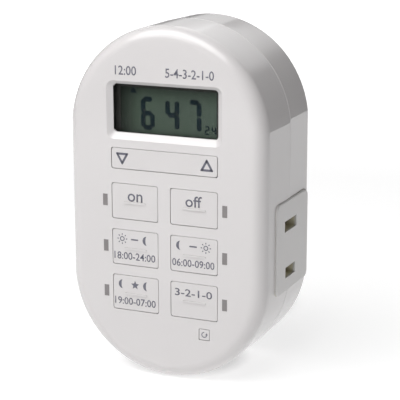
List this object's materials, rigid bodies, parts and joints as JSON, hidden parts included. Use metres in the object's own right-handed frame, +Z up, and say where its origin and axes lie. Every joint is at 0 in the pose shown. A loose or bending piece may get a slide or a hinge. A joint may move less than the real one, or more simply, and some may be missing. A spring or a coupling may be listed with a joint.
{
  "type": "digital plug-in timer",
  "caption": "Oval white plug-in timer with a small display, press keys, a set rocker and a side outlet, held on the wall by its flat polarised blades.",
  "frame": {"origin": "in the plane of the flat back, which lies on the wall, midway between the two plug blades", "axes": "+Y into the wall along the plug blades, +Z up, +X to the right of a viewer who faces the display"},
  "size_m": [0.0567, 0.0494, 0.0942],
  "materials": {
    "case_white": "fine satin moulded plastic",
    "key_white": "fine satin moulded plastic",
    "socket_beige": "satin heat-proof plastic",
    "inner_plastic": "satin",
    "inner_black": "satin",
    "clear_window": "clear",
    "lcd_panel": "greenish grey reflective display",
    "rubber_grey": "matte silicone",
    "lamp_grey": "smoky translucent",
    "led_body": "gloss",
    "brass": "satin",
    "blade_brass": "stamped, satin",
    "board_green": "solder resist",
    "relay_blue": "gloss",
    "capacitor_yellow": "gloss",
    "varistor_blue": "epoxy dip",
    "resistor_sand": "matte",
    "bright_metal": "satin",
    "screw_steel": "zinc plated"
  },
  "bodies": {
    "timer": {"backup_cell": "bright_metal", "blade_holder": "inner_plastic", "board_link": "inner_black", "board_screws": "screw_steel", "case_screws": "screw_steel", "cell_clip": "bright_metal", "clock_crystal": "bright_metal", "control_chip": "inner_black", "display_board": "board_green", "display_window": "clear_window", "dome_all_night": "rubber_grey", "dome_countdown": "rubber_grey", "dome_evening": "rubber_grey", "dome_morning": "rubber_grey", "dome_off": "rubber_grey", "dome_on": "rubber_grey", "dome_reset": "rubber_grey", "film_capacitor": "capacitor_yellow", "front_cover": "case_white", "fuse_resistor": "resistor_sand", "keypad_mat": "rubber_grey", "lamp_led_all_night": "led_body", "lamp_led_countdown": "led_body", "lamp_led_evening": "led_body", "lamp_led_morning": "led_body", "lamp_led_off": "led_body", "lamp_led_on": "led_body", "lamp_window_all_night": "lamp_grey", "lamp_window_countdown": "lamp_grey", "lamp_window_evening": "lamp_grey", "lamp_window_morning": "lamp_grey", "lamp_window_off": "lamp_grey", "lamp_window_on": "lamp_grey", "lcd_connector": "rubber_grey", "lcd_glass": "lcd_panel", "lcd_holder": "inner_plastic", "outlet_contact_line": "brass", "outlet_contact_neutral": "brass", "outlet_faceplate": "case_white", "outlet_socket": "socket_beige", "plug_blade_line": "blade_brass", "plug_blade_neutral": "blade_brass", "power_board": "board_green", "rear_cover": "case_white", "rectifier_diodes": "inner_black", "relay": "relay_blue", "rocker_domes": "rubber_grey", "smoothing_capacitor": "inner_black", "varistor": "varistor_blue"},
    "key_on": {"key_on": "key_white"},
    "key_off": {"key_off": "key_white"},
    "key_evening": {"key_evening": "key_white"},
    "key_morning": {"key_morning": "key_white"},
    "key_all_night": {"key_all_night": "key_white"},
    "key_countdown": {"key_countdown": "key_white"},
    "key_reset": {"key_reset": "key_white"},
    "rocker": {"rocker_up_down": "key_white"}
  },
  "joints": [
    {"name": "key_on_press", "type": "slide", "parent": "timer", "child": "key_on", "axis": [0, 1, 0], "range_m": [0, 0.0008], "stiffness_N_per_m": 900, "deforming": ["dome_on"]},
    {"name": "key_off_press", "type": "slide", "parent": "timer", "child": "key_off", "axis": [0, 1, 0], "range_m": [0, 0.0008], "stiffness_N_per_m": 900, "deforming": ["dome_off"]},
    {"name": "key_evening_press", "type": "slide", "parent": "timer", "child": "key_evening", "axis": [0, 1, 0], "range_m": [0, 0.0008], "stiffness_N_per_m": 900, "deforming": ["dome_evening"]},
    {"name": "key_morning_press", "type": "slide", "parent": "timer", "child": "key_morning", "axis": [0, 1, 0], "range_m": [0, 0.0008], "stiffness_N_per_m": 900, "deforming": ["dome_morning"]},
    {"name": "key_all_night_press", "type": "slide", "parent": "timer", "child": "key_all_night", "axis": [0, 1, 0], "range_m": [0, 0.0008], "stiffness_N_per_m": 900, "deforming": ["dome_all_night"]},
    {"name": "key_countdown_press", "type": "slide", "parent": "timer", "child": "key_countdown", "axis": [0, 1, 0], "range_m": [0, 0.0008], "stiffness_N_per_m": 900, "deforming": ["dome_countdown"]},
    {"name": "key_reset_press", "type": "slide", "parent": "timer", "child": "key_reset", "axis": [0, 1, 0], "range_m": [0, 0.0005], "stiffness_N_per_m": 900, "deforming": ["dome_reset"]},
    {"name": "rocker_tilt", "type": "hinge", "parent": "timer", "child": "rocker", "pos_m": [0, -0.0297, -0.00801], "axis": [0, 0, 1], "range_deg": [-3, 3], "stiffness_Nm_per_rad": 0.2, "deforming": ["rocker_domes"]}
  ]
}
